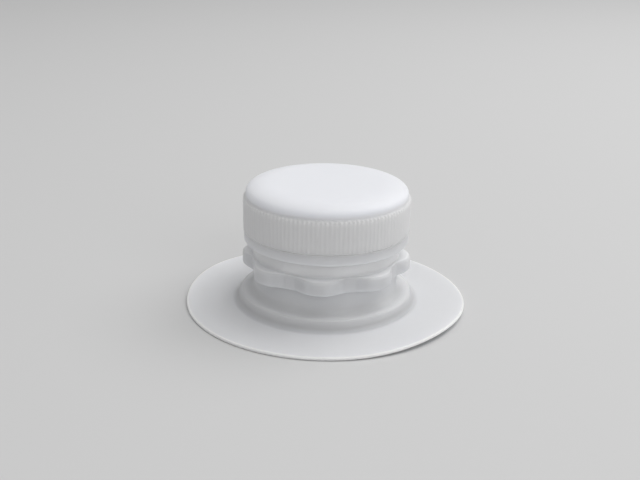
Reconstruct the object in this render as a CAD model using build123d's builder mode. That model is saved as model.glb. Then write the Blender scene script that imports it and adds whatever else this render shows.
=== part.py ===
from build123d import *
import math
import os

# Pour ring spout, in millimetres.
# The origin is the centre of the foot's underside, +Z runs up the neck and the front faces -Y.
# Azimuths are in degrees from the front, positive towards +X.
# The height of the cap sets the lip of the neck, and each drop is measured down from that lip.

os.makedirs("parts", exist_ok=True)

# Flange disc
flange_radius = 35.6
flange_thickness = 0.8
flange_rim_round = 0.25
foot_step = 0.06

# Warp of the thin disc: its rim is lifted at two places
front_lift = 1.1
front_lift_azimuth = 53.0
back_lift = 0.8
back_lift_azimuth = -115.0
lift_sharpness = 8
warp_steps = 20
warp_sheet_margin = 1.12
warp_fit_tolerance = 0.005
warp_falloff_power = 4
warp_blank_margin = 0.8

# Plinth and foot
foot_radius = 23.3
plinth_foot_radius = 22.3
plinth_radius = 21.6
plinth_height = 3.65
plinth_roof = 1.8
plinth_core_radius = 19.9
plinth_edge_round = 0.3
plinth_blend_height = 1.6

# Neck
neck_radius = 18.15
bore_radius = 16.2
neck_root_round = 1.6
upper_neck_radius = 18.5
finish_radius = 17.45

# Collar: a ring with rounded lobes
collar_drop = 18.9
collar_height = 3.75
lobe_count = 8
lobe_reach = 21.4
lobe_round = 5.8
lobe_azimuth = -4.5
valley_radius = 19.1
valley_round = 1.5
collar_edge_round = 0.7

# Retaining bead for the tamper band
bead_radius = 19.5
bead_drop = 10.0
bead_land = 0.35
bead_slope_height = 1.1

# Thread, right-handed, single start
thread_lead = 4.2
thread_depth = 1.15
thread_base_width = 2.2
thread_crest_width = 1.2
neck_thread_drop = 7.25
neck_thread_turns = 1.4
cap_thread_depth = 1.1
cap_thread_base_width = 2.0
cap_thread_crest_width = 1.0
cap_thread_drop = 7.45
cap_thread_turns = 1.15
flank_clearance = 0.15
thread_root_sink = 0.35
thread_end_sink = 0.15

# Screw cap
skirt_drop = 8.45
skirt_radius = 20.7
skirt_wall = 1.85
rib_count = 120
rib_reach = 21.0
rib_root_width = 0.8
rib_root_sink = 0.1
rib_blank_margin = 0.15
rib_side_angle = 62
rib_foot_chamfer = 0.2
rib_end_round = 0.5
rib_ledge_gap = 0.35
shoulder_radius = 20.3
shoulder_round_width = 7.0
shoulder_round_height = 2.4
shoulder_height = 3.2
cap_height = 31.75
cap_roof_thickness = 1.55
cap_corner_round = 0.6

# Tamper band
band_height = 2.63
band_radius = 20.8
band_edge_round = 0.3
band_gap = 0.12
bead_clearance = 0.3
band_hook_clearance = 0.35
band_hook_height = 0.8
bridge_count = 12
bridge_width = 0.6
bridge_depth = 0.5
bridge_gap = 0.05

# Pour ring
ring_fit_gap = 0.05
ring_rim_radius = 17.3
ring_rim_thickness = 0.8
ring_depth = 5.6
ring_wall = 1.0
ring_floor = 1.0
pour_bore_radius = 11.6
pour_tube_wall = 0.95
pour_lip_flare = 1.0
pour_lip_drop = 0.35
pour_lip_height = 1.5
drain_width = 2.4
drain_depth = 1.6
drain_corner_round = 0.5

# Sealing disc
seal_radius = 18.0
seal_thickness = 0.95
seal_gap = 0.05
seal_roof_gap = 0.05

# Places worked out from the sizes above
lobe_centre_radius = lobe_reach - lobe_round
collar_core_radius = (bore_radius + neck_radius) / 2
skirt_bore_radius = skirt_radius - skirt_wall
cap_inner_top = cap_height - cap_roof_thickness
seal_bottom = cap_inner_top - seal_roof_gap - seal_thickness
ring_top = seal_bottom - seal_gap
lip_height = ring_top - ring_rim_thickness
ledge_height = cap_height - shoulder_height
rib_top = ledge_height - rib_ledge_gap
skirt_bottom = lip_height - skirt_drop
bridge_top = skirt_bottom - bridge_gap
band_top = skirt_bottom - band_gap
band_bottom = band_top - band_height
neck_thread_start = lip_height - neck_thread_drop
cap_thread_start = lip_height - cap_thread_drop
bead_bottom = lip_height - bead_drop
collar_bottom = lip_height - collar_drop
root_round = min(neck_root_round, (collar_bottom - plinth_height) / 2)


# Warped disc

def rim_lift(x, y):
    """How far the warp lifts the disc at a point: nothing at the middle, most at the rim."""
    reach = math.hypot(x, y)
    if reach == 0:
        return 0.0
    azimuth = math.degrees(math.atan2(x, -y))
    lifted = 0.0
    for height, centre in ((front_lift, front_lift_azimuth), (back_lift, back_lift_azimuth)):
        facing = max(0.0, math.cos(math.radians(azimuth - centre)))
        lifted += height * facing**lift_sharpness
    return lifted * (reach / flange_radius) ** warp_falloff_power


def warped_sheet(height):
    """A wide smooth face that follows the warp at a height above the foot."""
    half = flange_radius * warp_sheet_margin
    step = 2 * half / warp_steps
    marks = [-half + step * i for i in range(warp_steps + 1)]
    rows = [[Vector(x, y, height + rim_lift(x, y)) for y in marks] for x in marks]
    return Face.make_surface_from_array_of_points(rows, tol=warp_fit_tolerance, min_deg=3, max_deg=5)


underside = warped_sheet(foot_step)
topside = warped_sheet(foot_step + flange_thickness)

with BuildPart() as flange_disc:
    with BuildSketch(Plane.XY.offset(-warp_blank_margin)):
        Circle(flange_radius)
        Circle((plinth_core_radius + foot_radius) / 2, mode=Mode.SUBTRACT)
    extrude(amount=flange_thickness + front_lift + back_lift + 2 * warp_blank_margin)
    split(bisect_by=underside, keep=Keep.TOP)
    split(bisect_by=topside, keep=Keep.BOTTOM)
    rim_edges = edges().filter_by(lambda e: e.length > 2 * math.pi * (flange_radius - flange_thickness))
    fillet(rim_edges, flange_rim_round)


# Ridge of the neck's thread, running out into the wall at both ends

with BuildPart() as neck_thread:
    with BuildLine(Plane.XY.offset(neck_thread_start)) as neck_helix:
        Helix(thread_lead, thread_lead * neck_thread_turns, finish_radius)
    with BuildSketch(Plane(origin=neck_helix.line @ 0, x_dir=(1, 0, 0), z_dir=neck_helix.line % 0)):
        with BuildLine():
            Polyline(
                (-thread_root_sink, -thread_base_width / 2),
                (0, -thread_base_width / 2),
                (thread_depth, -thread_crest_width / 2),
                (thread_depth, thread_crest_width / 2),
                (0, thread_base_width / 2),
                (-thread_root_sink, thread_base_width / 2),
                close=True,
            )
        make_face()
    sweep(path=neck_helix.line, is_frenet=True)
    neck_thread_end = neck_thread_start + thread_lead * neck_thread_turns
    for end_height, end_angle in ((neck_thread_start, 0), (neck_thread_end, 360 * neck_thread_turns)):
        with Locations((0, 0, end_height)):
            with PolarLocations(finish_radius - thread_end_sink, 1, start_angle=end_angle):
                Box(
                    2 * thread_depth,
                    2 * finish_radius,
                    1.5 * thread_base_width,
                    align=(Align.MIN, Align.CENTER, Align.CENTER),
                    mode=Mode.SUBTRACT,
                )


# Collar of the neck: lobes blended into a ring

with BuildPart() as collar:
    with BuildSketch(Plane.XY.offset(collar_bottom)):
        Circle(valley_radius)
        with PolarLocations(lobe_centre_radius, lobe_count, start_angle=lobe_azimuth - 90):
            Circle(lobe_round)
        valley_corners = vertices().filter_by(lambda v: abs(math.hypot(v.X, v.Y) - valley_radius) < 0.01)
        fillet(valley_corners, valley_round)
        Circle(collar_core_radius, mode=Mode.SUBTRACT)
    extrude(amount=collar_height)
    collar_rims = (
        edges()
        .filter_by(Plane.XY)
        .filter_by(lambda e: math.hypot(e.position_at(0).X, e.position_at(0).Y) > collar_core_radius + 0.1)
    )
    fillet(collar_rims, collar_edge_round)


# Spout body, one moulding

with BuildPart() as spout_body:
    with BuildSketch(Plane.XZ):
        with BuildLine():
            Polyline(
                (plinth_core_radius, 0),
                (foot_radius, 0),
                (foot_radius, foot_step + flange_thickness / 2),
                (plinth_foot_radius, plinth_blend_height),
                (plinth_radius, plinth_height),
                (neck_radius, plinth_height),
                (neck_radius, collar_bottom),
                (upper_neck_radius, collar_bottom),
                (upper_neck_radius, bead_bottom),
                (bead_radius, bead_bottom),
                (bead_radius, bead_bottom + bead_land),
                (finish_radius, bead_bottom + bead_land + bead_slope_height),
                (finish_radius, lip_height),
                (bore_radius, lip_height),
                (bore_radius, plinth_height),
                (plinth_core_radius, plinth_height - plinth_roof),
                close=True,
            )
        make_face()
    revolve(axis=Axis.Z)
    turned_edges = edges().filter_by(GeomType.CIRCLE)
    plinth_edge = turned_edges.filter_by(lambda e: abs(e.radius - plinth_radius) < 0.01)
    fillet(plinth_edge, plinth_edge_round)
    root_edge = (
        edges()
        .filter_by(GeomType.CIRCLE)
        .filter_by(lambda e: abs(e.radius - neck_radius) < 0.01)
        .sort_by(Axis.Z)[0]
    )
    fillet(root_edge, root_round)
    add(collar.part)
    add(neck_thread.part)
    add(flange_disc.part)


# Pour ring: a sleeve in the mouth with a gutter around its pouring tube

with BuildPart() as pour_ring:
    sleeve_radius = bore_radius - ring_fit_gap
    floor_bottom = ring_top - ring_depth
    floor_top = floor_bottom + ring_floor
    tube_radius = pour_bore_radius + pour_tube_wall
    lip_top = ring_top - pour_lip_drop
    with BuildSketch(Plane.XZ):
        with BuildLine():
            Polyline(
                (pour_bore_radius, floor_bottom),
                (sleeve_radius, floor_bottom),
                (sleeve_radius, lip_height),
                (ring_rim_radius, lip_height),
                (ring_rim_radius, ring_top),
                (sleeve_radius - ring_wall, ring_top),
                (sleeve_radius - ring_wall, floor_top),
                (tube_radius, floor_top),
                (tube_radius, lip_top - pour_lip_height),
                (tube_radius + pour_lip_flare, lip_top),
                (tube_radius + pour_lip_flare - pour_tube_wall / 2, lip_top),
                (pour_bore_radius, lip_top - pour_lip_height),
                close=True,
            )
        make_face()
    revolve(axis=Axis.Z)
    with BuildSketch(Plane.XY.offset(floor_bottom)):
        with Locations(((sleeve_radius - ring_wall + tube_radius) / 2, 0)):
            RectangleRounded(drain_depth, drain_width, drain_corner_round)
    extrude(amount=ring_floor, mode=Mode.SUBTRACT)


# Tamper band, kept on the neck by its inner hook under the bead

with BuildPart() as tamper_band:
    band_bore_radius = bead_radius + bead_clearance
    hook_radius = upper_neck_radius + band_hook_clearance
    hook_top = bead_bottom - bead_clearance
    with BuildSketch(Plane.XZ):
        with BuildLine():
            Polyline(
                (band_bore_radius, band_bottom),
                (band_radius, band_bottom),
                (band_radius, band_top),
                (band_bore_radius, band_top),
                (band_bore_radius, hook_top),
                (hook_radius, hook_top),
                (hook_radius, hook_top - band_hook_height / 2),
                close=True,
            )
        make_face()
    revolve(axis=Axis.Z)
    band_rims = edges().filter_by(GeomType.CIRCLE).filter_by(lambda e: abs(e.radius - band_radius) < 0.01)
    fillet(band_rims.sort_by(Axis.Z)[0], band_edge_round)
    with BuildSketch(Plane.XY.offset(band_top)):
        with PolarLocations((band_bore_radius + band_radius) / 2, bridge_count):
            Rectangle(bridge_depth, bridge_width)
    extrude(amount=bridge_top - band_top)


# Ridge of the cap's thread, which lies just under the neck's ridge

cap_crest_height = skirt_bore_radius - cap_thread_depth - finish_radius
flank_spread = (thread_base_width - thread_crest_width) * cap_crest_height / thread_depth
neck_width_at_crest = thread_base_width - flank_spread
ridge_drop = (neck_width_at_crest + cap_thread_crest_width) / 2 + flank_clearance
cap_thread_lag = (cap_thread_start + ridge_drop - neck_thread_start) / thread_lead

with BuildPart() as cap_thread:
    with BuildLine(Plane.XY.offset(cap_thread_start)) as cap_helix:
        Helix(thread_lead, thread_lead * cap_thread_turns, skirt_bore_radius)
    with BuildSketch(Plane(origin=cap_helix.line @ 0, x_dir=(-1, 0, 0), z_dir=cap_helix.line % 0)):
        with BuildLine():
            Polyline(
                (-thread_root_sink, -cap_thread_base_width / 2),
                (0, -cap_thread_base_width / 2),
                (cap_thread_depth, -cap_thread_crest_width / 2),
                (cap_thread_depth, cap_thread_crest_width / 2),
                (0, cap_thread_base_width / 2),
                (-thread_root_sink, cap_thread_base_width / 2),
                close=True,
            )
        make_face()
    sweep(path=cap_helix.line, is_frenet=True)


# Screw cap

with BuildPart() as screw_cap:
    with BuildSketch(Plane.XY.offset(skirt_bottom)):
        Circle(skirt_radius)
        with PolarLocations(skirt_radius - rib_root_sink, rib_count):
            Trapezoid(
                rib_root_width,
                rib_reach - skirt_radius + rib_root_sink + rib_blank_margin,
                rib_side_angle,
                rotation=-90,
                align=(Align.CENTER, Align.MIN),
            )
    extrude(amount=rib_top - skirt_bottom)
    with BuildSketch(Plane.XZ):
        with BuildLine():
            Polyline(
                (0, rib_top),
                (0, skirt_bottom),
                (rib_reach - rib_foot_chamfer, skirt_bottom),
                (rib_reach, skirt_bottom + rib_foot_chamfer),
                (rib_reach, rib_top - rib_end_round),
            )
            EllipticalCenterArc(
                (rib_reach - rib_end_round, rib_top - rib_end_round),
                rib_end_round,
                rib_end_round,
                start_angle=0,
                arc_size=90,
            )
            Line((rib_reach - rib_end_round, rib_top), (0, rib_top))
        make_face()
    revolve(axis=Axis.Z, mode=Mode.INTERSECT)
    with BuildSketch(Plane.XZ):
        with BuildLine():
            Polyline(
                (0, cap_height),
                (0, ledge_height - rib_end_round),
                (skirt_radius, rib_top - rib_end_round),
                (skirt_radius, rib_top - rib_end_round / 2),
                (shoulder_radius, ledge_height),
                (shoulder_radius, cap_height - shoulder_round_height),
            )
            EllipticalCenterArc(
                (shoulder_radius - shoulder_round_width, cap_height - shoulder_round_height),
                shoulder_round_width,
                shoulder_round_height,
                start_angle=0,
                arc_size=90,
            )
            Line((shoulder_radius - shoulder_round_width, cap_height), (0, cap_height))
        make_face()
    revolve(axis=Axis.Z)
    with BuildSketch(Plane.XZ):
        with BuildLine():
            Polyline(
                (0, skirt_bottom - skirt_wall),
                (skirt_bore_radius, skirt_bottom - skirt_wall),
                (skirt_bore_radius, cap_inner_top - cap_corner_round),
                (skirt_bore_radius - cap_corner_round, cap_inner_top),
                (0, cap_inner_top),
                close=True,
            )
        make_face()
    revolve(axis=Axis.Z, mode=Mode.SUBTRACT)
    add(cap_thread.part, rotation=(0, 0, 360 * cap_thread_lag))


# Sealing disc, seated in the cap's roof

with BuildPart() as sealing_disc:
    with BuildSketch(Plane.XY.offset(seal_bottom)):
        Circle(seal_radius)
    extrude(amount=seal_thickness)


spout_body.part.label = "spout_body"
pour_ring.part.label = "pour_ring"
tamper_band.part.label = "tamper_band"
screw_cap.part.label = "screw_cap"
sealing_disc.part.label = "sealing_disc"

export_step(spout_body.part, "parts/spout_body.step")
export_step(pour_ring.part, "parts/pour_ring.step")
export_step(tamper_band.part, "parts/tamper_band.step")
export_step(screw_cap.part, "parts/screw_cap.step")
export_step(sealing_disc.part, "parts/sealing_disc.step")
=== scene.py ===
import logging
import math
from dataclasses import dataclass
from enum import Enum

import bmesh
import bpy
from mathutils import Matrix, Vector


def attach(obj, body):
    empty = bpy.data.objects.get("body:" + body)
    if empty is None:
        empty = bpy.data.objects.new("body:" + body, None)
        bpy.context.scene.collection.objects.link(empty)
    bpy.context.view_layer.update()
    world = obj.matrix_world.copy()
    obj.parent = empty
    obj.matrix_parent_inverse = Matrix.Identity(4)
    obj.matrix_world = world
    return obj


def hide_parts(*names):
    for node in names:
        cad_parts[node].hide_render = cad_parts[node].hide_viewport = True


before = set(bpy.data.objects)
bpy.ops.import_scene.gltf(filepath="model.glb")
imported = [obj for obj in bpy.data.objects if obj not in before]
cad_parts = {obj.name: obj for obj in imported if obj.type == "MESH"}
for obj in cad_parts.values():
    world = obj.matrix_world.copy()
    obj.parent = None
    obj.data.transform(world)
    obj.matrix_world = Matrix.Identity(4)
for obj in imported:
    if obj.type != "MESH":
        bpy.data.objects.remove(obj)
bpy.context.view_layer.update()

MM = 0.001
SECTOR_STEPS = 15
WELD_DISTANCE = 0.0015 * MM
TOLERANCE_IN_MM = 0.01
FLOW_DETAIL = 3.0
GRAIN_DETAIL = 4.0
PLASTIC_IOR = 1.5

# Sockets of the Mix node, which gives the same name to each kind of value
MIX_SHARE = 0
MIX_FIRST_NUMBER = 2
MIX_SECOND_NUMBER = 3
MIX_FIRST_COLOUR = 6
MIX_SECOND_COLOUR = 7
MIXED_NUMBER = 0
MIXED_COLOUR = 2

logging.basicConfig(level=logging.INFO, format="%(message)s")
log = logging.getLogger("pour_ring_spout")


# Shared mesh tools

@dataclass(frozen=True)
class Corner:
    """One corner of a turned profile, in millimetres.

    radius and height place it, and round is the radius that softens it.
    """

    radius: float
    height: float
    round: float = 0.0


def azimuth_of(x: float, y: float) -> float:
    """The angle about the neck's axis, in degrees from the front and positive towards +X.

    Args:
        x: place along X, in any unit.
        y: place along Y, in the same unit.

    Returns:
        The azimuth from -180 to 180 degrees.
    """
    return math.degrees(math.atan2(x, -y))


def smooth_step(value: float) -> float:
    """A value held between 0 and 1 and eased at both ends.

    Args:
        value: any number.

    Returns:
        0 up to 0, 1 from 1 on, and an even curve between.
    """
    held = min(1.0, max(0.0, value))
    return held * held * (3.0 - 2.0 * held)


def rounded_outline(corners: list[Corner], segments: int, closed: bool) -> bmesh.types.BMesh:
    """Draws a profile in the XZ plane and rounds its corners.

    Args:
        corners: the corners in order.
        segments: how many edges make one rounded corner.
        closed: whether the last corner joins the first.

    Returns:
        A mesh of the outline's vertices and edges.
    """
    bm = bmesh.new()
    verts = [bm.verts.new((c.radius * MM, 0.0, c.height * MM)) for c in corners]
    for start, end in zip(verts, verts[1:]):
        bm.edges.new((start, end))
    if closed:
        bm.edges.new((verts[-1], verts[0]))
    count = len(verts)
    places = [v.co.copy() for v in verts]
    for i, (vert, corner) in enumerate(zip(verts, corners)):
        if corner.round <= 0.0:
            continue
        coming = (places[i] - places[i - 1]).normalized()
        leaving = (places[(i + 1) % count] - places[i]).normalized()
        turn = coming.angle(leaving)
        bmesh.ops.bevel(
            bm,
            geom=[vert],
            offset=corner.round * MM * math.tan(turn / 2.0),
            offset_type="OFFSET",
            segments=segments,
            profile=0.5,
            affect="VERTICES",
            clamp_overlap=True,
            material=-1,
        )
    return bm


def turned(
    corners: list[Corner],
    doublings: int,
    segments: int = 4,
    closed: bool = True,
) -> bmesh.types.BMesh:
    """Turns a profile once about the Z axis: a first sector is spun, then copied round and welded.

    Args:
        corners: the profile's corners in order.
        doublings: how often the sector of SECTOR_STEPS facets is doubled to go all the way round.
        segments: how many edges make one rounded corner.
        closed: whether the profile is a loop of its own, clear of the axis.

    Returns:
        A closed shell with its faces outwards.
    """
    bm = rounded_outline(corners, segments, closed)
    sector = 2.0 * math.pi / 2**doublings
    bmesh.ops.spin(
        bm,
        geom=bm.verts[:] + bm.edges[:],
        cent=(0.0, 0.0, 0.0),
        axis=(0.0, 0.0, 1.0),
        dvec=(0.0, 0.0, 0.0),
        angle=sector,
        steps=SECTOR_STEPS,
        use_merge=False,
        use_duplicate=False,
    )
    for done in range(doublings):
        copied = bmesh.ops.duplicate(bm, geom=bm.verts[:] + bm.edges[:] + bm.faces[:])
        bmesh.ops.rotate(
            bm,
            cent=(0.0, 0.0, 0.0),
            matrix=Matrix.Rotation(sector * 2**done, 3, "Z"),
            verts=[part for part in copied["geom"] if isinstance(part, bmesh.types.BMVert)],
        )
    bmesh.ops.remove_doubles(bm, verts=bm.verts[:], dist=WELD_DISTANCE)
    bmesh.ops.recalc_face_normals(bm, faces=bm.faces[:])
    return bm


def finished_piece(bm: bmesh.types.BMesh, name: str, sharp_angle: float = 40.0) -> bpy.types.Object:
    """Makes an object of a finished mesh, smooth but for its sharp edges.

    Args:
        bm: the mesh, with its place in its vertices. It is freed.
        name: the piece's name.
        sharp_angle: edges that turn by more degrees than this stay sharp.

    Returns:
        The object, at the origin.
    """
    mesh = bpy.data.meshes.new(name)
    bm.to_mesh(mesh)
    bm.free()
    mesh.polygons.foreach_set("use_smooth", [True] * len(mesh.polygons))
    mesh.set_sharp_from_angle(angle=math.radians(sharp_angle))
    piece = bpy.data.objects.new(name, mesh)
    bpy.context.scene.collection.objects.link(piece)
    return piece


@dataclass(frozen=True)
class Ridge:
    """The ridge of a screw thread, in millimetres and turns.

    wall is the radius it stands on, and side is 1 where it stands outwards and -1 where inwards.
    sink is how far it reaches into the wall, and start is the height at which it sets out from +X.
    """

    wall: float
    side: float
    depth: float
    base_width: float
    crest_width: float
    sink: float
    start: float
    lead: float
    turns: float
    steps_per_turn: int

    @property
    def root(self) -> float:
        """The radius of the ridge's hidden back."""
        return self.wall - self.side * self.sink

    def wind(self) -> bmesh.types.BMesh:
        """Winds the ridge up about the Z axis.

        Returns:
            The ridge as a mesh with both its ends closed.
        """
        bm = bmesh.new()
        half_base = self.base_width / 2.0
        half_crest = self.crest_width / 2.0
        crest = self.wall + self.side * self.depth
        outline = [
            (self.root, -half_base),
            (self.wall, -half_base),
            (crest, -half_crest),
            (crest, half_crest),
            (self.wall, half_base),
            (self.root, half_base),
        ]
        verts = [bm.verts.new((r * MM, 0.0, (self.start + z) * MM)) for r, z in outline]
        first = bm.faces.new(verts)
        steps = round(self.turns * self.steps_per_turn)
        bmesh.ops.spin(
            bm,
            geom=[first],
            cent=(0.0, 0.0, 0.0),
            axis=(0.0, 0.0, 1.0),
            dvec=(0.0, 0.0, self.lead * self.turns / steps * MM),
            angle=2.0 * math.pi * self.turns,
            steps=steps,
            use_merge=False,
            use_duplicate=False,
        )
        return bm


def join_ridge(bm: bmesh.types.BMesh, ridge: bmesh.types.BMesh) -> None:
    """Adds a wound ridge to a piece's mesh.

    Args:
        bm: the piece's mesh.
        ridge: the ridge's mesh. It is freed.
    """
    bmesh.ops.recalc_face_normals(ridge, faces=ridge.faces[:])
    wound = bpy.data.meshes.new("wound_ridge")
    ridge.to_mesh(wound)
    ridge.free()
    bm.from_mesh(wound)
    bpy.data.meshes.remove(wound)


# Finishes

class Slot(Enum):
    """The record's material slots."""

    BODY = "natural_polyethylene"
    RING = "clear_natural_polyethylene"
    WHITE = "white_polypropylene"
    LINER = "foam_liner"


class Measure(Enum):
    """What a moulding's part with painted light or shade goes by."""

    HEIGHT = "height"
    RADIUS = "radius"


@dataclass(frozen=True)
class PaintedShadingZone:
    """A part of a moulding with painted light or shade in its tone and its own depth of light, in
    millimetres.

    Its own tone, painted lighter or darker to stand in for light and shade, holds up to start and
    has faded into the common one at end, by its measure. Where start is the larger, the part lies
    beyond start. depth is how far light travels in it.
    """

    measure: Measure
    tone: tuple[float, float, float]
    start: float
    end: float
    depth: float


@dataclass(frozen=True)
class MouldedPlastic:
    """A moulded plastic: its tone, gloss, depth of light and fine surface.

    tone and flow_tone are linear colours that drift into each other over flow_size millimetres.
    glow is the share of light that enters, and depth how far it travels in millimetres, which
    depth_tint multiplies for red, green and blue.
    gloss is how strongly it mirrors the lamps, where 0.5 is plain plastic, and roughness_spread is
    how far its roughness drifts to either side.
    grain_size and grain_height give the fine mould texture, in millimetres.
    painted_shading_zones are the parts whose tone is painted lighter or darker to stand in for light
    and shade.
    """

    name: str
    tone: tuple[float, float, float]
    flow_tone: tuple[float, float, float]
    flow_size: float
    roughness: float
    roughness_spread: float
    glow: float
    depth: float
    depth_tint: tuple[float, float, float]
    gloss: float
    grain_size: float
    grain_height: float
    painted_shading_zones: tuple[PaintedShadingZone, ...] = ()

    def paint_shading_zones(
        self,
        tree: bpy.types.NodeTree,
        places: bpy.types.NodeSocket,
        tone: bpy.types.NodeSocket,
    ) -> None:
        """Fades each part's painted light and shade into the common tone, and its depth of light
        into the common one.

        Args:
            tree: the material's node tree.
            places: the Object coordinates.
            tone: the common tone.
        """
        shader = tree.nodes["Principled BSDF"]
        depth = None
        for shading_zone in self.painted_shading_zones:
            share = tree.nodes.new("ShaderNodeMapRange")
            share.interpolation_type = "SMOOTHSTEP"
            share.inputs["From Min"].default_value = shading_zone.start * MM
            share.inputs["From Max"].default_value = shading_zone.end * MM
            if shading_zone.measure is Measure.HEIGHT:
                apart = tree.nodes.new("ShaderNodeSeparateXYZ")
                tree.links.new(places, apart.inputs["Vector"])
                tree.links.new(apart.outputs["Z"], share.inputs["Value"])
            else:
                flat = tree.nodes.new("ShaderNodeVectorMath")
                flat.operation = "MULTIPLY"
                flat.inputs[1].default_value = (1.0, 1.0, 0.0)
                tree.links.new(places, flat.inputs[0])
                reach = tree.nodes.new("ShaderNodeVectorMath")
                reach.operation = "LENGTH"
                tree.links.new(flat.outputs["Vector"], reach.inputs[0])
                tree.links.new(reach.outputs["Value"], share.inputs["Value"])
            mixed = tree.nodes.new("ShaderNodeMix")
            mixed.data_type = "RGBA"
            mixed.inputs[MIX_FIRST_COLOUR].default_value = (*shading_zone.tone, 1.0)
            tree.links.new(share.outputs["Result"], mixed.inputs[MIX_SHARE])
            tree.links.new(tone, mixed.inputs[MIX_SECOND_COLOUR])
            tone = mixed.outputs[MIXED_COLOUR]
            travel = tree.nodes.new("ShaderNodeMix")
            travel.data_type = "FLOAT"
            travel.inputs[MIX_FIRST_NUMBER].default_value = shading_zone.depth * MM
            travel.inputs[MIX_SECOND_NUMBER].default_value = self.depth * MM
            tree.links.new(share.outputs["Result"], travel.inputs[MIX_SHARE])
            if depth:
                tree.links.new(depth, travel.inputs[MIX_SECOND_NUMBER])
            depth = travel.outputs[MIXED_NUMBER]
        tree.links.new(tone, shader.inputs["Base Color"])
        if depth:
            tree.links.new(depth, shader.inputs["Subsurface Scale"])

    def material(self) -> bpy.types.Material:
        """Builds the finish as a procedural material on Object coordinates.

        Returns:
            The material, made once and reused.
        """
        known = bpy.data.materials.get(self.name)
        if known:
            return known
        made = bpy.data.materials.new(self.name)
        made.use_nodes = True
        nodes = made.node_tree.nodes
        links = made.node_tree.links
        shader = nodes["Principled BSDF"]
        places = nodes.new("ShaderNodeTexCoord")

        flow = nodes.new("ShaderNodeTexNoise")
        flow.inputs["Scale"].default_value = 1.0 / (self.flow_size * MM)
        flow.inputs["Detail"].default_value = FLOW_DETAIL
        links.new(places.outputs["Object"], flow.inputs["Vector"])
        tones = nodes.new("ShaderNodeMix")
        tones.data_type = "RGBA"
        tones.inputs[MIX_FIRST_COLOUR].default_value = (*self.tone, 1.0)
        tones.inputs[MIX_SECOND_COLOUR].default_value = (*self.flow_tone, 1.0)
        links.new(flow.outputs["Fac"], tones.inputs[MIX_SHARE])
        self.paint_shading_zones(made.node_tree, places.outputs["Object"], tones.outputs[MIXED_COLOUR])

        rough = nodes.new("ShaderNodeMapRange")
        rough.inputs["To Min"].default_value = self.roughness - self.roughness_spread
        rough.inputs["To Max"].default_value = self.roughness + self.roughness_spread
        links.new(flow.outputs["Fac"], rough.inputs["Value"])
        links.new(rough.outputs["Result"], shader.inputs["Roughness"])

        grain = nodes.new("ShaderNodeTexNoise")
        grain.inputs["Scale"].default_value = 1.0 / (self.grain_size * MM)
        grain.inputs["Detail"].default_value = GRAIN_DETAIL
        links.new(places.outputs["Object"], grain.inputs["Vector"])
        bump = nodes.new("ShaderNodeBump")
        bump.inputs["Distance"].default_value = self.grain_height * MM
        bump.inputs["Strength"].default_value = 1.0
        links.new(grain.outputs["Fac"], bump.inputs["Height"])
        links.new(bump.outputs["Normal"], shader.inputs["Normal"])

        shader.inputs["Subsurface Weight"].default_value = self.glow
        shader.inputs["Subsurface Scale"].default_value = self.depth * MM
        shader.inputs["Subsurface Radius"].default_value = self.depth_tint
        shader.inputs["Specular IOR Level"].default_value = self.gloss
        shader.inputs["IOR"].default_value = PLASTIC_IOR
        return made


NATURAL_BODY = MouldedPlastic(
    name="natural_body",
    tone=(0.55, 0.555, 0.565),
    flow_tone=(0.58, 0.585, 0.595),
    flow_size=14.0,
    roughness=0.45,
    roughness_spread=0.04,
    glow=1.0,
    depth=8.0,
    depth_tint=(1.0, 1.0, 1.0),
    gloss=0.3,
    grain_size=0.35,
    grain_height=0.004,
    painted_shading_zones=(
        # Painted light: inside 18.7 mm the neck is lighter, to lift the shade that falls under the
        # collar and the cap.
        PaintedShadingZone(Measure.RADIUS, tone=(0.63, 0.635, 0.645), start=18.7, end=20.4, depth=4.0),
        # Painted light: above 13.4 mm, in the recess under the band and up the neck, the tone is
        # much lighter to lift the shade under the band and the cap.
        PaintedShadingZone(Measure.HEIGHT, tone=(0.83, 0.835, 0.845), start=13.4, end=12.9, depth=4.5),
        # Painted light: below 4.2 mm the plinth's top and the neck's root are lighter, to lift the
        # shade in the crease at the root.
        PaintedShadingZone(Measure.HEIGHT, tone=(0.67, 0.675, 0.685), start=4.2, end=6.6, depth=4.0),
        # Painted shade: beyond 21.6 mm the plinth's edge and side are darker, toning down the edge's
        # highlight and, with the fade below, painting a shadow round the plinth's foot.
        PaintedShadingZone(Measure.RADIUS, tone=(0.54, 0.543, 0.55), start=21.6, end=20.8, depth=6.0),
        # The disc beyond 24.2 mm is lighter and bluer; its fade in to 22.2 mm leaves the darker tone
        # of the line above as a painted shadow round the plinth's foot.
        PaintedShadingZone(Measure.RADIUS, tone=(0.83, 0.845, 0.895), start=24.2, end=22.2, depth=2.5),
        # Painted light: the rim beyond 35.4 mm is nearly white, a painted glow of light gathering at
        # the thin edge.
        PaintedShadingZone(Measure.RADIUS, tone=(0.97, 0.975, 0.98), start=35.4, end=35.0, depth=2.5),
    ),
)
NATURAL_RING = MouldedPlastic(
    name="natural_ring",
    tone=(0.80, 0.815, 0.835),
    flow_tone=(0.83, 0.84, 0.855),
    flow_size=9.0,
    roughness=0.38,
    roughness_spread=0.04,
    glow=1.0,
    depth=3.5,
    depth_tint=(0.95, 1.0, 1.05),
    gloss=0.5,
    grain_size=0.3,
    grain_height=0.003,
)
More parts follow.
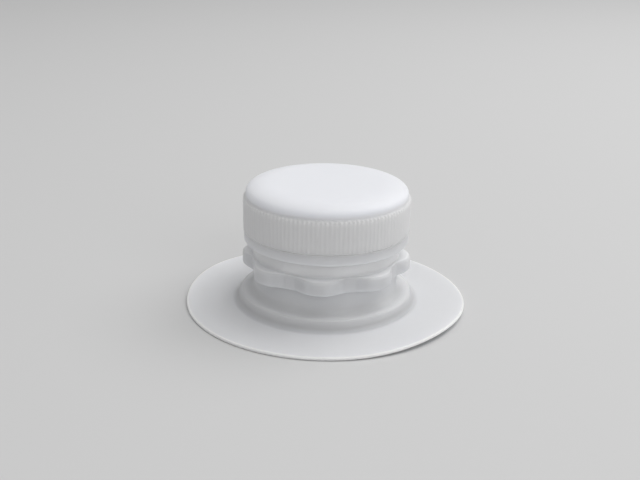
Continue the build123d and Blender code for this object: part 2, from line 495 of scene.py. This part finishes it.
WHITE_CAP = MouldedPlastic(
    name="white_cap",
    tone=(0.81, 0.82, 0.86),
    flow_tone=(0.835, 0.845, 0.885),
    flow_size=18.0,
    roughness=0.43,
    roughness_spread=0.03,
    glow=0.9,
    depth=1.2,
    depth_tint=(1.0, 1.0, 1.0),
    gloss=0.18,
    grain_size=0.3,
    grain_height=0.003,
    painted_shading_zones=(
        # Painted shade: the ribbed skirt up to 27.9 mm, fading out by 29.6 mm, is darker than the
        # roof, as its side gets less light.
        PaintedShadingZone(Measure.HEIGHT, tone=(0.69, 0.69, 0.695), start=27.9, end=29.6, depth=2.5),
        # Painted light: the skirt's foot below 19.95 mm is lighter, to lift the dark crease over the
        # band.
        PaintedShadingZone(Measure.HEIGHT, tone=(0.88, 0.88, 0.885), start=19.95, end=20.2, depth=2.5),
    ),
)
# Painted shade: the band is the cap's white plastic in a darker tone, a shaded copy standing in for
# the shade on its side.
WHITE_BAND_PAINTED_SHADE = MouldedPlastic(
    name="white_band_painted_shade",
    tone=(0.65, 0.655, 0.67),
    flow_tone=(0.68, 0.685, 0.70),
    flow_size=10.0,
    roughness=0.46,
    roughness_spread=0.03,
    glow=1.0,
    depth=2.4,
    depth_tint=(1.0, 1.0, 1.0),
    gloss=0.35,
    grain_size=0.3,
    grain_height=0.003,
    # Painted light: the band's upper edge above 19.8 mm is lighter, to lift the dark gap under the
    # cap's skirt.
    painted_shading_zones=(PaintedShadingZone(Measure.HEIGHT, tone=(0.88, 0.885, 0.89), start=19.8, end=19.5, depth=2.4),),
)
FOAM_LINER = MouldedPlastic(
    name="foam_liner",
    tone=(0.86, 0.86, 0.84),
    flow_tone=(0.90, 0.90, 0.88),
    flow_size=3.0,
    roughness=0.75,
    roughness_spread=0.08,
    glow=0.5,
    depth=0.8,
    depth_tint=(1.0, 1.0, 1.0),
    gloss=0.5,
    grain_size=0.18,
    grain_height=0.02,
)


def dress(piece: bpy.types.Object, finish: MouldedPlastic) -> None:
    """Gives a piece its finish.

    Args:
        piece: the piece to dress.
        finish: the plastic it is moulded from.
    """
    piece.data.materials.clear()
    piece.data.materials.append(finish.material())


# Spout body

@dataclass
class SpoutMoulding:
    """The spout body: warped weld flange, plinth, neck, lobed collar, bead and thread.

    All sizes are in millimetres and degrees. collar_held is the width of the collar's full ring,
    next to the upper neck, that stays where it is when the lobes are drawn, and collar_cover is how
    far a valley may sink into that neck.
    """

    doublings: int = 5
    flange_radius: float = 35.6
    flange_thickness: float = 0.8
    flange_rim_round: float = 0.25
    flange_root_round: float = 1.0
    flange_row_shares: tuple[float, ...] = (0.2, 0.4, 0.6, 0.8, 0.92)
    foot_step: float = 0.06
    front_lift: float = 1.1
    front_lift_azimuth: float = 53.0
    back_lift: float = 0.8
    back_lift_azimuth: float = -115.0
    lift_sharpness: float = 8.0
    lift_falloff: float = 4.0
    warp_margin: float = 0.1
    foot_radius: float = 23.3
    foot_bevel: float = 0.2
    foot_inner_round: float = 0.2
    plinth_foot_radius: float = 22.3
    plinth_radius: float = 21.6
    plinth_height: float = 3.65
    plinth_edge_round: float = 0.55
    plinth_roof: float = 1.8
    plinth_roof_round: float = 0.4
    plinth_core_radius: float = 19.9
    plinth_flank_foot: float = 1.8
    plinth_flank_round: float = 1.2
    neck_root_round: float = 1.8
    neck_radius: float = 18.15
    bore_radius: float = 16.2
    bore_foot_round: float = 0.5
    upper_neck_radius: float = 18.5
    finish_radius: float = 17.45
    finish_root_round: float = 0.3
    lip_height: float = 28.35
    lip_outer_round: float = 0.25
    lip_inner_round: float = 0.2
    collar_bottom: float = 9.45
    collar_height: float = 3.75
    lobe_count: int = 8
    lobe_reach: float = 21.4
    lobe_round: float = 5.8
    lobe_azimuth: float = -4.5
    valley_radius: float = 19.0
    valley_blend: float = 1.4
    collar_under_round: float = 0.75
    collar_edge_round: float = 0.85
    collar_root_round: float = 0.6
    collar_headroom: float = 0.5
    collar_held: float = 0.31
    collar_cover: float = 0.2
    bead_radius: float = 19.5
    bead_bottom: float = 18.35
    bead_land: float = 0.35
    bead_slope_height: float = 1.1
    bead_under_round: float = 0.1
    bead_edge_round: float = 0.2
    thread_lead: float = 4.2
    thread_depth: float = 1.15
    thread_base_width: float = 2.2
    thread_crest_width: float = 1.2
    thread_start: float = 21.1
    thread_turns: float = 1.4
    thread_sink: float = 0.35
    thread_runout_turns: float = 0.06
    thread_steps_per_turn: int = 120

    def profile(self) -> list[Corner]:
        """The turned profile, from the foot round the outside, over the lip and down the bore.

        Returns:
            The corners in order, as a closed loop.
        """
        underside = self.foot_step
        topside = self.foot_step + self.flange_thickness
        collar_top = self.collar_bottom + self.collar_height
        bead_land_top = self.bead_bottom + self.bead_land
        bead_top = bead_land_top + self.bead_slope_height
        plinth_ceiling = self.plinth_height - self.plinth_roof
        flange_rows = [
            self.foot_radius + (self.flange_radius - self.foot_radius) * share
            for share in self.flange_row_shares
        ]
        corners = [
            Corner(self.plinth_core_radius, 0.0, self.foot_inner_round),
            Corner(self.foot_radius - self.foot_bevel, 0.0),
            Corner(self.foot_radius, underside),
        ]
        corners += [Corner(r, underside) for r in flange_rows]
        corners += [
            Corner(self.flange_radius, underside, self.flange_rim_round),
            Corner(self.flange_radius, topside, self.flange_rim_round),
        ]
        corners += [Corner(r, topside) for r in reversed(flange_rows)]
        corners += [
            Corner(self.foot_radius, topside, self.flange_root_round),
            Corner(self.plinth_foot_radius, self.plinth_flank_foot, self.plinth_flank_round),
            Corner(self.plinth_radius, self.plinth_height, self.plinth_edge_round),
            Corner(self.neck_radius, self.plinth_height, self.neck_root_round),
            Corner(self.neck_radius, self.collar_bottom),
            Corner(self.lobe_reach, self.collar_bottom, self.collar_under_round),
            Corner(self.lobe_reach, collar_top, self.collar_edge_round),
            Corner(self.upper_neck_radius, collar_top, self.collar_root_round),
            Corner(self.upper_neck_radius, self.bead_bottom),
            Corner(self.bead_radius, self.bead_bottom, self.bead_under_round),
            Corner(self.bead_radius, bead_land_top, self.bead_edge_round),
            Corner(self.finish_radius, bead_top, self.finish_root_round),
            Corner(self.finish_radius, self.lip_height, self.lip_outer_round),
            Corner(self.bore_radius, self.lip_height, self.lip_inner_round),
            Corner(self.bore_radius, self.plinth_height, self.bore_foot_round),
            Corner(self.plinth_core_radius, plinth_ceiling, self.plinth_roof_round),
        ]
        return corners

    def collar_radius(self, azimuth: float) -> float:
        """How far the collar stands out at an azimuth.

        Args:
            azimuth: degrees from the front.

        Returns:
            The outline's radius, with the lobes blended into the valleys.
        """
        pitch = 360.0 / self.lobe_count
        offset = (azimuth - self.lobe_azimuth + pitch / 2.0) % pitch - pitch / 2.0
        centre = self.lobe_reach - self.lobe_round
        swing = math.radians(offset)
        inside = self.lobe_round**2 - (centre * math.sin(swing)) ** 2
        lobe = centre * math.cos(swing) + math.sqrt(inside) if inside > 0.0 else 0.0
        blend = max(self.valley_blend - abs(lobe - self.valley_radius), 0.0) / self.valley_blend
        return max(lobe, self.valley_radius) + blend * blend * self.valley_blend / 4.0

    def warp_at(self, x: float, y: float) -> float:
        """How far the thin disc has lifted at a place.

        Args:
            x: place along X in millimetres.
            y: place along Y in millimetres.

        Returns:
            The lift in millimetres.
        """
        reach = math.hypot(x, y)
        azimuth = azimuth_of(x, y)
        lifted = 0.0
        for height, middle in (
            (self.front_lift, self.front_lift_azimuth),
            (self.back_lift, self.back_lift_azimuth),
        ):
            facing = max(0.0, math.cos(math.radians(azimuth - middle)))
            lifted += height * facing**self.lift_sharpness
        return lifted * (reach / self.flange_radius) ** self.lift_falloff

    def shape_collar(self, bm: bmesh.types.BMesh) -> None:
        """Draws the full collar ring in to the lobed outline.

        Args:
            bm: the turned moulding.
        """
        low = self.collar_bottom - TOLERANCE_IN_MM
        high = self.collar_bottom + self.collar_height + self.collar_headroom
        full = self.lobe_reach - self.neck_radius
        for vert in bm.verts:
            x, y, z = vert.co.x / MM, vert.co.y / MM, vert.co.z / MM
            radius = math.hypot(x, y)
            if not low < z < high or radius < self.upper_neck_radius + self.collar_held:
                continue
            reach = self.collar_radius(azimuth_of(x, y)) - self.neck_radius
            wanted = self.neck_radius + (radius - self.neck_radius) * reach / full
            wanted = max(wanted, self.upper_neck_radius - self.collar_cover)
            vert.co.x *= wanted / radius
            vert.co.y *= wanted / radius

    def warp_flange(self, bm: bmesh.types.BMesh) -> None:
        """Lifts the disc's rim where the part has warped.

        Args:
            bm: the turned moulding.
        """
        for vert in bm.verts:
            x, y = vert.co.x / MM, vert.co.y / MM
            beyond_foot = math.hypot(x, y) > self.foot_radius - self.warp_margin
            if beyond_foot and vert.co.z > TOLERANCE_IN_MM * MM:
                vert.co.z += self.warp_at(x, y) * MM

    def thread(self) -> bmesh.types.BMesh:
        """Winds the thread's ridge, which runs out into the finish's wall at both ends.

        Returns:
            The ridge's mesh.
        """
        ridge = Ridge(
            wall=self.finish_radius,
            side=1.0,
            depth=self.thread_depth,
            base_width=self.thread_base_width,
            crest_width=self.thread_crest_width,
            sink=self.thread_sink,
            start=self.thread_start,
            lead=self.thread_lead,
            turns=self.thread_turns,
            steps_per_turn=self.thread_steps_per_turn,
        )
        bm = ridge.wind()
        for vert in bm.verts:
            turn = math.atan2(vert.co.y, vert.co.x) / (2.0 * math.pi)
            climbed = (vert.co.z / MM - self.thread_start) / self.thread_lead
            place = turn + round(climbed - turn)
            ends = min(place, self.thread_turns - place) / self.thread_runout_turns
            radius = math.hypot(vert.co.x, vert.co.y) / MM
            wanted = ridge.root + (radius - ridge.root) * smooth_step(ends)
            vert.co.x *= wanted / radius
            vert.co.y *= wanted / radius
        return bm

    def build(self) -> bpy.types.Object:
        """Models the moulding, hides the plain solid it stands for and dresses it.

        Returns:
            The finished piece.
        """
        bm = turned(self.profile(), self.doublings)
        self.shape_collar(bm)
        self.warp_flange(bm)
        join_ridge(bm, self.thread())
        piece = finished_piece(bm, "spout_moulding")
        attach(piece, "spout")
        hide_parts("spout_body")
        dress(piece, NATURAL_BODY)
        return piece


# Pour ring

@dataclass
class PourRing:
    """The sleeve pressed into the mouth, with a gutter round its pouring tube, in millimetres."""

    doublings: int = 4
    sleeve_radius: float = 16.15
    rim_radius: float = 17.3
    rim_thickness: float = 0.8
    seat_height: float = 28.35
    depth: float = 5.6
    wall: float = 1.0
    floor: float = 1.0
    bore_radius: float = 11.6
    tube_wall: float = 0.95
    lip_flare: float = 1.0
    lip_drop: float = 0.35
    lip_height: float = 1.5
    foot_inner_round: float = 0.15
    foot_outer_round: float = 0.2
    rim_under_round: float = 0.12
    rim_round: float = 0.25
    sleeve_edge_round: float = 0.3
    gutter_round: float = 0.4
    flare_round: float = 1.5
    lip_round: float = 0.12

    def profile(self) -> list[Corner]:
        """The turned profile, from the bore outwards, over the rim and back down the tube.

        Returns:
            The corners in order, as a closed loop.
        """
        top = self.seat_height + self.rim_thickness
        floor_bottom = top - self.depth
        floor_top = floor_bottom + self.floor
        tube = self.bore_radius + self.tube_wall
        lip_top = top - self.lip_drop
        return [
            Corner(self.bore_radius, floor_bottom, self.foot_inner_round),
            Corner(self.sleeve_radius, floor_bottom, self.foot_outer_round),
            Corner(self.sleeve_radius, self.seat_height),
            Corner(self.rim_radius, self.seat_height, self.rim_under_round),
            Corner(self.rim_radius, top, self.rim_round),
            Corner(self.sleeve_radius - self.wall, top, self.sleeve_edge_round),
            Corner(self.sleeve_radius - self.wall, floor_top, self.gutter_round),
            Corner(tube, floor_top, self.gutter_round),
            Corner(tube, lip_top - self.lip_height, self.flare_round),
            Corner(tube + self.lip_flare, lip_top, self.lip_round),
            Corner(tube + self.lip_flare - self.tube_wall / 2.0, lip_top, self.lip_round),
            Corner(self.bore_radius, lip_top - self.lip_height, self.flare_round),
        ]

    def build(self) -> bpy.types.Object:
        """Models the ring and dresses it in place of its plain solid.

        Returns:
            The finished piece.
        """
        piece = finished_piece(turned(self.profile(), self.doublings), "pouring_ring")
        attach(piece, "spout")
        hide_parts("pour_ring")
        dress(piece, NATURAL_RING)
        return piece


# Tamper band

@dataclass
class TamperBand:
    """The smooth band below the cap, with its hook and the parted bridges, in millimetres."""

    doublings: int = 5
    bottom: float = 17.15
    top: float = 19.84
    radius: float = 20.8
    bore_radius: float = 19.8
    hook_radius: float = 18.85
    hook_top: float = 18.05
    hook_height: float = 0.8
    edge_round: float = 0.3
    foot_inner_round: float = 0.1
    top_outer_round: float = 0.05
    top_inner_round: float = 0.12
    hook_round: float = 0.1
    bridge_count: int = 12
    bridge_width: float = 0.6
    bridge_depth: float = 0.5
    bridge_height: float = 0.03
    bridge_sink: float = 0.15

    def profile(self) -> list[Corner]:
        """The turned profile of the band and its inner hook.

        Returns:
            The corners in order, as a closed loop.
        """
        return [
            Corner(self.bore_radius, self.bottom, self.foot_inner_round),
            Corner(self.radius, self.bottom, self.edge_round),
            Corner(self.radius, self.top, self.top_outer_round),
            Corner(self.bore_radius, self.top, self.top_inner_round),
            Corner(self.bore_radius, self.hook_top, self.hook_round),
            Corner(self.hook_radius, self.hook_top, self.hook_round),
            Corner(self.hook_radius, self.hook_top - self.hook_height / 2.0, self.hook_round),
        ]

    def add_bridges(self, bm: bmesh.types.BMesh) -> None:
        """Stands the small bridges on the band's upper edge.

        Args:
            bm: the turned band.
        """
        middle = (self.bore_radius + self.radius) / 2.0
        height = self.bridge_height + self.bridge_sink
        for index in range(self.bridge_count):
            made = bmesh.ops.create_cube(bm, size=MM)
            corners = made["verts"]
            bmesh.ops.scale(bm, vec=(self.bridge_depth, self.bridge_width, height), verts=corners)
            bmesh.ops.translate(
                bm,
                vec=(middle * MM, 0.0, (self.top - self.bridge_sink + height / 2.0) * MM),
                verts=corners,
            )
            bmesh.ops.rotate(
                bm,
                cent=(0.0, 0.0, 0.0),
                matrix=Matrix.Rotation(2.0 * math.pi * index / self.bridge_count, 3, "Z"),
                verts=corners,
            )

    def build(self) -> bpy.types.Object:
        """Models the band and dresses it in place of its plain solid.

        Returns:
            The finished piece.
        """
        bm = turned(self.profile(), self.doublings)
        self.add_bridges(bm)
        piece = finished_piece(bm, "tamper_ring")
        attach(piece, "spout")
        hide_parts("tamper_band")
        dress(piece, WHITE_BAND_PAINTED_SHADE)
        return piece


# Screw cap

@dataclass
class RibbedCap:
    """The screw cap: finely ribbed skirt, ledge, domed shoulder, hollow and inner thread.

    All sizes are in millimetres. The rows are where the skirt needs vertices for its ribs.
    """

    rib_count: int = 120
    doublings: int = 6
    skirt_bottom: float = 19.9
    skirt_radius: float = 20.7
    skirt_wall: float = 1.85
    skirt_foot_edge: float = 0.05
    skirt_foot_inset: float = 0.2
    skirt_foot_rows: tuple[float, ...] = (0.0, 0.12, 0.3)
    skirt_rows: tuple[float, ...] = (22.5, 25.0)
    rib_reach: float = 21.0
    rib_depth: float = 0.09
    rib_end_depth: float = 0.27
    rib_end_height: float = 0.9
    rib_end_row_shares: tuple[float, ...] = (1.0, 0.85, 0.7)
    rib_top: float = 28.2
    rib_end_round: float = 0.5
    rib_round_rows: int = 6
    ledge_height: float = 28.55
    ledge_round: float = 0.15
    shoulder_radius: float = 20.3
    shoulder_width: float = 7.0
    shoulder_drop: float = 2.4
    shoulder_fullness: float = 2.2
    shoulder_rows: int = 16
    height: float = 31.75
    inner_top: float = 30.2
    inner_round: float = 0.6
    bore_foot_round: float = 0.2
    thread_lead: float = 4.2
    thread_depth: float = 1.1
    thread_base_width: float = 2.0
    thread_crest_width: float = 1.0
    thread_start: float = 20.9
    thread_turns: float = 1.15
    thread_lag_turns: float = 0.338
    thread_sink: float = 0.35
    thread_steps_per_turn: int = 120

    def wall_rows(self) -> list[float]:
        """Lists the rows that the ribs need, from the foot of the skirt to their tops.

        Returns:
            The rows' heights in millimetres.
        """
        quarter = math.pi / 2.0
        foot = [self.skirt_bottom + rise for rise in self.skirt_foot_rows]
        flare = [self.rib_top - self.rib_end_height * share for share in self.rib_end_row_shares]
        ends = [
            self.rib_top - self.rib_end_round * (1.0 - math.sin(quarter * row / self.rib_round_rows))
            for row in range(self.rib_round_rows + 1)
        ]
        return foot + list(self.skirt_rows) + flare + ends

    def base_radius(self, height: float) -> float:
        """The skirt's own radius between the ribs.

        Args:
            height: millimetres above the foot.

        Returns:
            The radius in millimetres.
        """
        slope_start = self.rib_top - self.rib_end_round / 2.0
        if height <= slope_start:
            return self.skirt_radius
        share = (height - slope_start) / (self.ledge_height - slope_start)
        return self.skirt_radius + (self.shoulder_radius - self.skirt_radius) * min(1.0, share)

    def rib_radius(self, angle: float, height: float) -> float:
        """The outline's radius at an angle and a height on the ribbed skirt.

        Args:
            angle: radians about the axis, with a rib at 0.
            height: millimetres above the foot.

        Returns:
            The larger of the skirt's own radius and the rib's.
        """
        base = self.base_radius(height)
        swell = 0.5 + 0.5 * math.cos(angle * self.rib_count)
        climbed = height - self.rib_top + self.rib_end_height
        ending = smooth_step(climbed / (self.rib_end_height / 2.0))
        depth = self.rib_depth + (self.rib_end_depth - self.rib_depth) * ending
        rib = self.rib_reach - depth * (1.0 - swell)
        start = self.rib_top - self.rib_end_round
        if height > start:
            fall = min(1.0, (height - start) / self.rib_end_round)
            rib -= self.rib_end_round * (1.0 - math.sqrt(1.0 - fall**2))
        if height < self.skirt_bottom + self.skirt_foot_edge:
            rib = min(rib, self.rib_reach - self.skirt_foot_inset)
        return max(base, rib)

    def profile(self) -> list[Corner]:
        """The turned profile, from the roof's middle over the shoulder, the skirt and the hollow.

        Returns:
            The corners in order, with both ends on the axis.
        """
        middle = self.shoulder_radius - self.shoulder_width
        flank = self.height - self.shoulder_drop
        corners = [Corner(0.0, self.height), Corner(middle / 2.0, self.height)]
        power = 2.0 / self.shoulder_fullness
        for row in range(self.shoulder_rows + 1):
            swing = math.pi / 2.0 * row / self.shoulder_rows
            corners.append(
                Corner(
                    middle + self.shoulder_width * math.sin(swing) ** power,
                    flank + self.shoulder_drop * max(0.0, math.cos(swing)) ** power,
                )
            )
        corners.append(Corner(self.shoulder_radius, self.ledge_height, self.ledge_round))
        for z in reversed(self.wall_rows()):
            corners.append(Corner(self.base_radius(z), z))
        bore = self.skirt_radius - self.skirt_wall
        corners += [
            Corner(bore, self.skirt_bottom, self.bore_foot_round),
            Corner(bore, self.inner_top, self.inner_round),
            Corner(bore / 2.0, self.inner_top),
            Corner(0.0, self.inner_top),
        ]
        return corners

    def raise_ribs(self, bm: bmesh.types.BMesh) -> None:
        """Moves the skirt's outer columns out to the ribs.

        Args:
            bm: the turned cap.
        """
        for vert in bm.verts:
            radius = math.hypot(vert.co.x, vert.co.y) / MM
            z = vert.co.z / MM
            above = z > self.rib_top + TOLERANCE_IN_MM
            if above or radius < self.base_radius(z) - TOLERANCE_IN_MM:
                continue
            wanted = self.rib_radius(math.atan2(vert.co.y, vert.co.x), z)
            vert.co.x *= wanted / radius
            vert.co.y *= wanted / radius

    def thread(self) -> bmesh.types.BMesh:
        """Winds the ridge inside the skirt, a little lower than the neck's own ridge.

        Returns:
            The ridge's mesh.
        """
        ridge = Ridge(
            wall=self.skirt_radius - self.skirt_wall,
            side=-1.0,
            depth=self.thread_depth,
            base_width=self.thread_base_width,
            crest_width=self.thread_crest_width,
            sink=self.thread_sink,
            start=self.thread_start,
            lead=self.thread_lead,
            turns=self.thread_turns,
            steps_per_turn=self.thread_steps_per_turn,
        )
        bm = ridge.wind()
        bmesh.ops.rotate(
            bm,
            cent=(0.0, 0.0, 0.0),
            matrix=Matrix.Rotation(2.0 * math.pi * self.thread_lag_turns, 3, "Z"),
            verts=bm.verts[:],
        )
        return bm

    def build(self) -> bpy.types.Object:
        """Models the cap, hides the plain solid it stands for and dresses it.

        Returns:
            The finished piece.
        """
        bm = turned(self.profile(), self.doublings, closed=False)
        self.raise_ribs(bm)
        join_ridge(bm, self.thread())
        piece = finished_piece(bm, "ribbed_cap")
        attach(piece, "cap")
        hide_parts("screw_cap")
        dress(piece, WHITE_CAP)
        return piece


# Sealing disc

@dataclass
class SealingDisc:
    """The foamed disc that lies in the cap's roof, in millimetres."""

    doublings: int = 4
    radius: float = 18.0
    bottom: float = 29.2
    thickness: float = 0.95
    edge_round: float = 0.15

    def build(self) -> bpy.types.Object:
        """Models the disc and dresses it in place of its plain solid.

        Returns:
            The finished piece.
        """
        top = self.bottom + self.thickness
        corners = [
            Corner(0.0, self.bottom),
            Corner(self.radius, self.bottom, self.edge_round),
            Corner(self.radius, top, self.edge_round),
            Corner(0.0, top),
        ]
        piece = finished_piece(turned(corners, self.doublings, closed=False), "liner_disc")
        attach(piece, "seal")
        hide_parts("sealing_disc")
        dress(piece, FOAM_LINER)
        return piece


# Studio

@dataclass(frozen=True)
class Lamp:
    """A soft square lamp: where it hangs and its width in metres, and its power in watts."""

    name: str
    place: tuple[float, float, float]
    size: float
    power: float


@dataclass
class Studio:
    """The pale table, the soft light and the camera.

    Places and sizes are in metres, and the lens and its sensor in millimetres.
    """

    table_half_width: float = 2.2
    table_tone: tuple[float, float, float] = (0.63, 0.63, 0.63)
    table_roughness: float = 0.8
    table_gloss: float = 0.1
    world_tone: tuple[float, float, float] = (1.0, 1.0, 1.0)
    world_strength: float = 0.5
    lamps: tuple[Lamp, ...] = (
        Lamp("window_softbox", (0.47, 0.27, 0.8), 0.8, 4.8),
        Lamp("ceiling_lamp", (0.15, -0.15, 0.9), 0.25, 0.5),
        Lamp("front_fill", (0.52, -0.81, 0.45), 0.7, 2.05),
    )
    lamp_aim: tuple[float, float, float] = (0.0, 0.0, 0.02)
    camera_place: tuple[float, float, float] = (-0.0016, -0.23815, 0.1044)
    camera_aim: tuple[float, float, float] = (-0.0016, 0.0, 0.0161)
    camera_roll: float = 0.016
    nearest: float = 0.01
    farthest: float = 20.0
    lens: float = 56.25
    sensor: float = 36.0

    def lay_table(self) -> None:
        """Lays a wide matt surface under the part."""
        bm = bmesh.new()
        bmesh.ops.create_grid(bm, x_segments=2, y_segments=2, size=self.table_half_width)
        table = finished_piece(bm, "table")
        surface = bpy.data.materials.new("table_surface")
        surface.use_nodes = True
        shader = surface.node_tree.nodes["Principled BSDF"]
        shader.inputs["Base Color"].default_value = (*self.table_tone, 1.0)
        shader.inputs["Roughness"].default_value = self.table_roughness
        shader.inputs["Specular IOR Level"].default_value = self.table_gloss
        table.data.materials.append(surface)

    def hang(self, lamp: Lamp) -> None:
        """Hangs a lamp and turns it to the part.

        Args:
            lamp: the lamp to hang.
        """
        light = bpy.data.lights.new(lamp.name, "AREA")
        light.shape = "SQUARE"
        light.size = lamp.size
        light.energy = lamp.power
        holder = bpy.data.objects.new(lamp.name, light)
        holder.location = lamp.place
        facing = Vector(self.lamp_aim) - Vector(lamp.place)
        holder.rotation_euler = facing.to_track_quat("-Z", "Y").to_euler()
        bpy.context.scene.collection.objects.link(holder)

    def light(self) -> None:
        """Sets the soft sky and the lamps."""
        world = bpy.data.worlds.new("soft_sky")
        bpy.context.scene.world = world
        world.use_nodes = True
        sky = world.node_tree.nodes["Background"]
        sky.inputs["Color"].default_value = (*self.world_tone, 1.0)
        sky.inputs["Strength"].default_value = self.world_strength
        for lamp in self.lamps:
            self.hang(lamp)

    def set_camera(self) -> None:
        """Places the camera where the photograph was taken from."""
        lens = bpy.data.cameras.new("camera")
        lens.lens = self.lens
        lens.sensor_width = self.sensor
        lens.clip_start = self.nearest
        lens.clip_end = self.farthest
        holder = bpy.data.objects.new("camera", lens)
        holder.location = self.camera_place
        facing = Vector(self.camera_aim) - Vector(self.camera_place)
        turn = facing.to_track_quat("-Z", "Y").to_matrix().to_4x4()
        roll = Matrix.Rotation(self.camera_roll, 4, "Z")
        holder.rotation_euler = (turn @ roll).to_euler()
        bpy.context.scene.collection.objects.link(holder)
        bpy.context.scene.camera = holder

    def build(self) -> None:
        """Sets up the table, the light, the camera and the view."""
        self.lay_table()
        self.light()
        self.set_camera()
        bpy.context.scene.view_settings.view_transform = "Standard"


def main() -> None:
    """Builds the studio and every piece in order, and reports each."""
    Studio().build()
    for maker in (SpoutMoulding(), PourRing(), TamperBand(), RibbedCap(), SealingDisc()):
        piece = maker.build()
        log.info("%s: %d faces", piece.name, len(piece.data.polygons))


if __name__ == "__main__":
    main()
